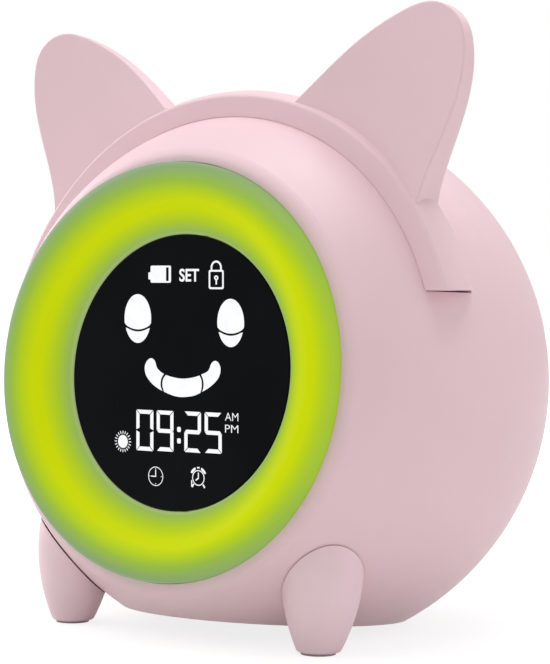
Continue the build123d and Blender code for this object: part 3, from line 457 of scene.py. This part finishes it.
# The smile's three segments: the runs between their corners.
SMILE = {
    "smile_left": (
        [(-3.70, -0.47), (-4.62, -0.02), (-5.46, 0.62), (-5.84, 1.22), (-6.08, 1.98), (-6.60, 2.62),
         (-7.38, 2.84), (-8.12, 2.52), (-8.78, 1.78), (-9.10, 0.80), (-8.92, -0.45), (-8.30, -1.45),
         (-7.11, -2.60), (-5.60, -3.52), (-4.16, -4.14)],
        [(-4.16, -4.14), (-4.60, -3.20), (-4.62, -2.20), (-4.34, -1.30), (-3.70, -0.47)],
    ),
    "smile_middle": (
        [(6.12, -0.52), (4.32, -1.00), (1.68, -1.32), (-0.95, -1.14), (-3.14, -0.68)],
        [(-3.14, -0.68), (-3.80, -1.40), (-4.08, -2.30), (-4.04, -3.30), (-3.60, -4.34)],
        [(-3.60, -4.34), (-0.95, -5.10), (1.46, -5.28), (4.32, -4.94), (6.34, -4.23)],
        [(6.34, -4.23), (6.68, -3.20), (6.74, -2.20), (6.56, -1.30), (6.12, -0.52)],
    ),
    "smile_right": (
        [(6.60, -0.30), (7.60, 0.05), (8.42, 0.50), (8.90, 1.12), (9.20, 1.88), (9.80, 2.52),
         (10.50, 2.72), (11.20, 2.40), (11.68, 1.66), (11.82, 0.80), (11.58, -0.25), (10.95, -1.25),
         (9.90, -2.20), (8.45, -3.18), (6.86, -3.96)],
        [(6.86, -3.96), (7.20, -3.10), (7.26, -2.10), (7.06, -1.20), (6.60, -0.30)],
    ),
}


def on_window(point):
    """From millimetres on the window to the row frame."""
    u, v, depth = point
    return BODY @ Vector((u - WINDOW_SHEAR * v, -WINDOW_FACE - depth, v))


def glyph_white():
    """Lit white segments under the gloss window."""
    m = Nodes("glyph_white")
    glow = m.mottle([(0.93, 0.94, 0.96), grey(1.0)], 500, 2)
    m.set(Base_Color=(*grey(0.05), 1), Roughness=0.2, Emission_Color=glow, Emission_Strength=0.97)
    m.set(Specular_IOR_Level=0.2)
    return m.material


def battery_sign():
    return {
        "battery_sign": [box(-7.47, 19.35, -1.74, 23.08, 0.35), box(-3.12, 19.72, -2.36, 22.70, 0.12)],
        "battery_tip": [box(-8.08, 20.05, -7.42, 21.62, 0.2)],
    }


def lock_sign():
    return {
        "lock_body": [box(8.68, 18.03, 12.72, 22.15, 0.45), box(9.08, 18.42, 12.32, 21.76, 0.25)],
        "lock_hole": [oval(*LOCK_MIDDLE, 0.56, 0.52), oval(*LOCK_MIDDLE, 0.22, 0.2)],
        "lock_slot": [box(10.53, 19.02, 10.89, 20.0, 0.1)],
        "lock_arch": [stroke(smooth(LOCK_ARCH), 0.42)],
    }


def eye(side, u, v, half_u, half_v, lid_edge, lid_middle):
    """Egg-shaped eye in two pieces, parted by a curved lid line."""

    def lid(at_u, shift):
        share = (at_u - u) / half_u
        return v + lid_middle + (lid_edge - lid_middle) * share * share + shift

    def lid_line(first, last, shift):
        return [(a, lid(a, shift)) for a in (first + (last - first) * i / 12 for i in range(1, 12))]

    half_gap = EYE_GAP / 2
    rim = oval(u, v, half_u, half_v, 96, -pi / 2, 3 * pi / 2)
    upper = [p for p in rim if p[1] >= lid(p[0], half_gap)]
    upper += lid_line(upper[-1][0], upper[0][0], half_gap)
    rim = oval(u, v, half_u * LOWER_LID_SHARE, half_v, 96, pi / 2, 5 * pi / 2)
    lower = [p for p in rim if p[1] <= lid(p[0], -half_gap)]
    lower += lid_line(lower[-1][0], lower[0][0], -half_gap)
    return {side + "_eye_upper": [upper], side + "_eye_lower": [lower]}


def smile():
    return {name: [[p for run in runs for p in smooth(run)[:-1]]] for name, runs in SMILE.items()}


def digit(sign, left, right, top, bottom):
    """Seven-segment digit with mitred ends."""
    middle = (top + bottom) / 2
    thick, gap = SEGMENT_THICK, SEGMENT_GAP
    half = thick / 2

    def level(edge, inward):
        """Segment along the digit's top or bottom."""
        inner = edge + inward * thick
        return [
            (left + gap, edge), (right - gap, edge),
            (right - gap - thick, inner), (left + gap + thick, inner),
        ]

    def upright(edge, inward, end, to_middle):
        """Segment along one side, from the digit's end to its middle."""
        inner = edge + inward * thick
        return [
            (edge, end + to_middle * gap), (inner, end + to_middle * (gap + thick)),
            (inner, middle - to_middle * (thick + gap) / 2), (edge, middle - to_middle * gap),
        ]

    segments = {
        "a": level(top, -1),
        "b": upright(right, -1, top, -1),
        "c": upright(right, -1, bottom, 1),
        "d": level(bottom, 1),
        "e": upright(left, 1, bottom, 1),
        "f": upright(left, 1, top, -1),
        "g": [
            (left + gap, middle), (left + gap + half, middle + half), (right - gap - half, middle + half),
            (right - gap, middle), (right - gap - half, middle - half), (left + gap + half, middle - half),
        ],
    }
    return [segments[letter] for letter in SEGMENTS[sign]]


def time_signs():
    signs = {f"digit_{i}": digit(*place) for i, place in enumerate(DIGITS, 1)}
    signs["colon"] = [box(0.0, low, 0.98, low + 1.08, 0.28) for low in (-12.81, -15.27)]
    return signs


def sun_sign():
    angles = [2 * pi * i / SUN_RAYS for i in range(SUN_RAYS)]
    rays = [stroke([around(SUN, radius, a) for radius in (1.72, 2.34)], 0.19) for a in angles]
    return {"sun_disc": [oval(*SUN, 1.38, 1.42)], "sun_rays": rays}


def clock_sign():
    ticks = [stroke([around(CLOCK, radius, i * pi / 2) for radius in (1.5, 1.72)], 0.16) for i in range(4)]
    return {
        "clock_rim": [oval(*CLOCK, 2.08), oval(*CLOCK, 1.92)],
        "clock_hands": [box(-6.10, -22.80, -5.88, -21.25), box(-7.25, -22.80, -6.10, -22.58)],
        "clock_ticks": ticks,
    }


def alarm_sign():
    bells = []
    for side in (-1, 1):
        middle = pi / 2 - side * radians(42)
        outer = [around(ALARM, 2.35, middle - 0.36 + 0.072 * i) for i in range(11)]
        inner = [around(ALARM, 1.9, middle + 0.36), around(ALARM, 1.9, middle - 0.36)]
        bells.append(outer + inner)
        bells.append(stroke([(ALARM[0] + side * 1.25, -23.65), (ALARM[0] + side * 1.72, -24.35)], 0.34))
    bells.append(box(5.45, -20.32, 6.15, -20.0, 0.1))
    return {
        "alarm_rim": [oval(*ALARM, 1.66), oval(*ALARM, 1.46)],
        "alarm_hands": [box(5.68, -22.5, 5.92, -21.2), stroke([(5.74, -22.38), (5.05, -22.9)], 0.24)],
        "alarm_bells": bells,
        "alarm_mark": [box(3.86, -24.3, 4.12, -22.9)],
    }


def make_display():
    white = glyph_white()

    def show(signs):
        for name, outlines in signs.items():
            filled(name, outlines, white, on_window, GLYPH_HEIGHT)

    def write(name, text, area, weight):
        lettering(name, text, area, weight, white, on_window, GLYPH_HEIGHT)

    show(battery_sign())
    write("set_sign", "SET", (0.61, 6.01, 19.6, 22.4), 0.02)
    show(lock_sign())
    show(eye("left", -11.11, 11.46, 3.79, 5.35, -1.45, -2.62))
    show(eye("right", 14.56, 10.87, 3.57, 5.12, -1.38, -2.50))
    show(smile())
    show(time_signs())
    write("am_sign", "AM", (13.03, 16.53, -9.83, -8.15), -0.012)
    write("pm_sign", "PM", (13.03, 16.53, -12.33, -10.70), -0.012)
    show(sun_sign())
    show(clock_sign())
    show(alarm_sign())


# ---------------------------------------------------------------- marks on the keys

MARK_SINK = 0.12
MARK_HEIGHT = 0.20
MARK_ARM = 1.9
MARK_BAR = 0.3
BELL_HALF = [(-1.75, -1.05), (-1.35, -0.55), (-1.20, 0.35), (-0.85, 1.15), (-0.30, 1.55), (-0.30, 1.90)]


def bell_mark():
    return [BELL_HALF + [(-u, v) for u, v in reversed(BELL_HALF)], oval(0, -1.45, 0.5, 0.36)]


def moon_mark():
    outer = oval(0, 0, 1.9, 1.9, 36, radians(60), radians(330))
    inner = oval(0.869, 0.233, 1.415, 1.415, 36, radians(86.7), radians(303.3))
    return [outer + inner[::-1]]


def lamp_mark():
    bulb = oval(0, 0.45, 1.35, 1.35, 36, radians(-50), radians(230)) + [(-0.62, -1.2), (0.62, -1.2)]
    return [bulb, box(-0.62, -1.72, 0.62, -1.42, 0.1), box(-0.40, -2.18, 0.40, -1.94, 0.1)]


def plus_mark():
    """One inner corner and its two arm ends, turned four times."""
    points = [(-MARK_ARM, -MARK_BAR), (-MARK_BAR, -MARK_BAR), (-MARK_BAR, -MARK_ARM)]
    outline = []
    for _ in range(4):
        outline += points
        points = [(-v, u) for u, v in points]
    return [outline]


def minus_mark():
    return [box(-MARK_ARM, -MARK_BAR, MARK_ARM, MARK_BAR, 0.1)]


def on_key(name):
    """From millimetres on a key's domed face, seen from behind, to the row frame."""
    angle = radians(KEY_ANGLES[name])

    def to_row(point):
        u, v, depth = point
        x, z = KEY_CIRCLE * cos(angle) - u, KEY_CIRCLE * sin(angle) + v
        y = sqrt(KEY_FACE_RADIUS**2 - x * x - z * z)
        return BODY @ Vector((x, y + depth - MARK_SINK, z))

    return to_row


def make_key_marks():
    ink = moulded("mark_ink", (0.30, 0.23, 0.25), variation=0.05)
    marks = {
        "alarm": bell_mark(),
        "nap": moon_mark(),
        "light": lamp_mark(),
        "plus": plus_mark(),
        "minus": minus_mark(),
    }
    for name, outlines in marks.items():
        filled(name + "_key_mark", outlines, ink, on_key(name), MARK_HEIGHT, name + "_key")
    area = (-2.6, 2.6, -0.95, 0.95)
    lettering("set_key_mark", "SET", area, 0.02, ink, on_key("set"), MARK_HEIGHT, "set_key")


# ---------------------------------------------------------------- floor and lights

FLOOR_HALF = 4.0
FLOOR_DROP = 0.0001
# How much light the floor gives back to the clock, how much of its shading and how much white it
# shows to the eye, and the distances in metres over which it turns fully white.
FLOOR_TONE = 0.8
FLOOR_SHADE = 0.26
FLOOR_LEVEL = 0.81
FLOOR_NEAR = 0.25
FLOOR_FAR = 0.8
# How brightly the white world lights the clock.
WORLD_LEVEL = 0.56
LAMP_SIZE = 0.7
LAMP_AIM = Vector((0, 0, 0.07))
# Each lamp's place in metres and its power in watts.
LAMPS = {
    "key": ((-0.5, -0.5, 0.9), 2.85),
    "top": ((0.1, 0.1, 1.1), 5.3),
    "back": ((0.1, 0.7, 0.85), 1.3),
    "left": ((-1.0, 0.0, 0.4), 3.2),
    "right": ((0.95, 0.35, 0.35), 1.0),
}


def floor_pale():
    """Pale floor that shows the eye a soft shadow on white."""
    m = Nodes("floor_pale")
    path = m.add("ShaderNodeLightPath")
    direct = m.math("MAXIMUM", path.outputs["Is Camera Ray"], path.outputs["Is Glossy Ray"])
    seen = m.math("MAXIMUM", direct, path.outputs["Is Transmission Ray"])
    m.set(Base_Color=m.ramp(seen, [(0.0, grey(FLOOR_TONE)), (1.0, grey(FLOOR_SHADE))]))
    m.set(Roughness=0.9, Specular_IOR_Level=0.0)
    away = m.add("ShaderNodeVectorMath", operation="LENGTH")
    m.link(m.place(), away.inputs[0])
    past = m.math("SUBTRACT", away.outputs["Value"], FLOOR_NEAR)
    share = m.math("DIVIDE", past, FLOOR_FAR - FLOOR_NEAR, clamp=True)
    level = m.math("MULTIPLY_ADD", share, 1 - FLOOR_LEVEL, FLOOR_LEVEL)
    glow = m.add("ShaderNodeEmission")
    glow.inputs["Color"].default_value = (1, 1, 1, 1)
    m.put(glow, "Strength", m.math("MULTIPLY", seen, level))
    both = m.add("ShaderNodeAddShader")
    m.link(m.shader.outputs[0], both.inputs[0])
    m.link(glow.outputs[0], both.inputs[1])
    m.link(both.outputs[0], m.tree.nodes["Material Output"].inputs["Surface"])
    return m.material


def make_floor():
    mesh = bpy.data.meshes.new("floor")
    corners = box(-FLOOR_HALF, -FLOOR_HALF, FLOOR_HALF, FLOOR_HALF)
    mesh.from_pydata([(x, y, 0) for x, y in corners], [], [(0, 1, 2, 3)])
    mesh.materials.append(floor_pale())
    floor = bpy.data.objects.new("floor", mesh)
    bpy.context.scene.collection.objects.link(floor)
    floor.location.z = -FLOOR_DROP


def make_world():
    """White to the eye and through clear pieces, and dimmer as a light."""
    world = bpy.data.worlds.new("world")
    bpy.context.scene.world = world
    world.use_nodes = True
    tree = world.node_tree
    background = tree.nodes["Background"]
    background.inputs["Color"].default_value = (1, 1, 1, 1)
    path = tree.nodes.new("ShaderNodeLightPath")
    seen = tree.nodes.new("ShaderNodeMath")
    seen.operation = "MAXIMUM"
    tree.links.new(path.outputs["Is Camera Ray"], seen.inputs[0])
    tree.links.new(path.outputs["Is Transmission Ray"], seen.inputs[1])
    level = tree.nodes.new("ShaderNodeMath")
    level.operation = "MULTIPLY_ADD"
    tree.links.new(seen.outputs[0], level.inputs[0])
    level.inputs[1].default_value = 1.0 - WORLD_LEVEL
    level.inputs[2].default_value = WORLD_LEVEL
    tree.links.new(level.outputs[0], background.inputs["Strength"])


def make_lights():
    for name, (place, power) in LAMPS.items():
        data = bpy.data.lights.new(name, "AREA")
        data.shape = "DISK"
        data.size = LAMP_SIZE
        data.energy = power
        lamp = bpy.data.objects.new(name, data)
        lamp.location = place
        lamp.rotation_mode = "QUATERNION"
        lamp.rotation_quaternion = (LAMP_AIM - Vector(place)).to_track_quat("-Z", "Y")
        bpy.context.scene.collection.objects.link(lamp)


# ---------------------------------------------------------------- build

bpy.context.scene.view_settings.view_transform = "Standard"
make_camera()
dress_shell()
dress_front()
dress_inside()
dress_rear()
make_display()
make_key_marks()
make_floor()
make_world()
make_lights()
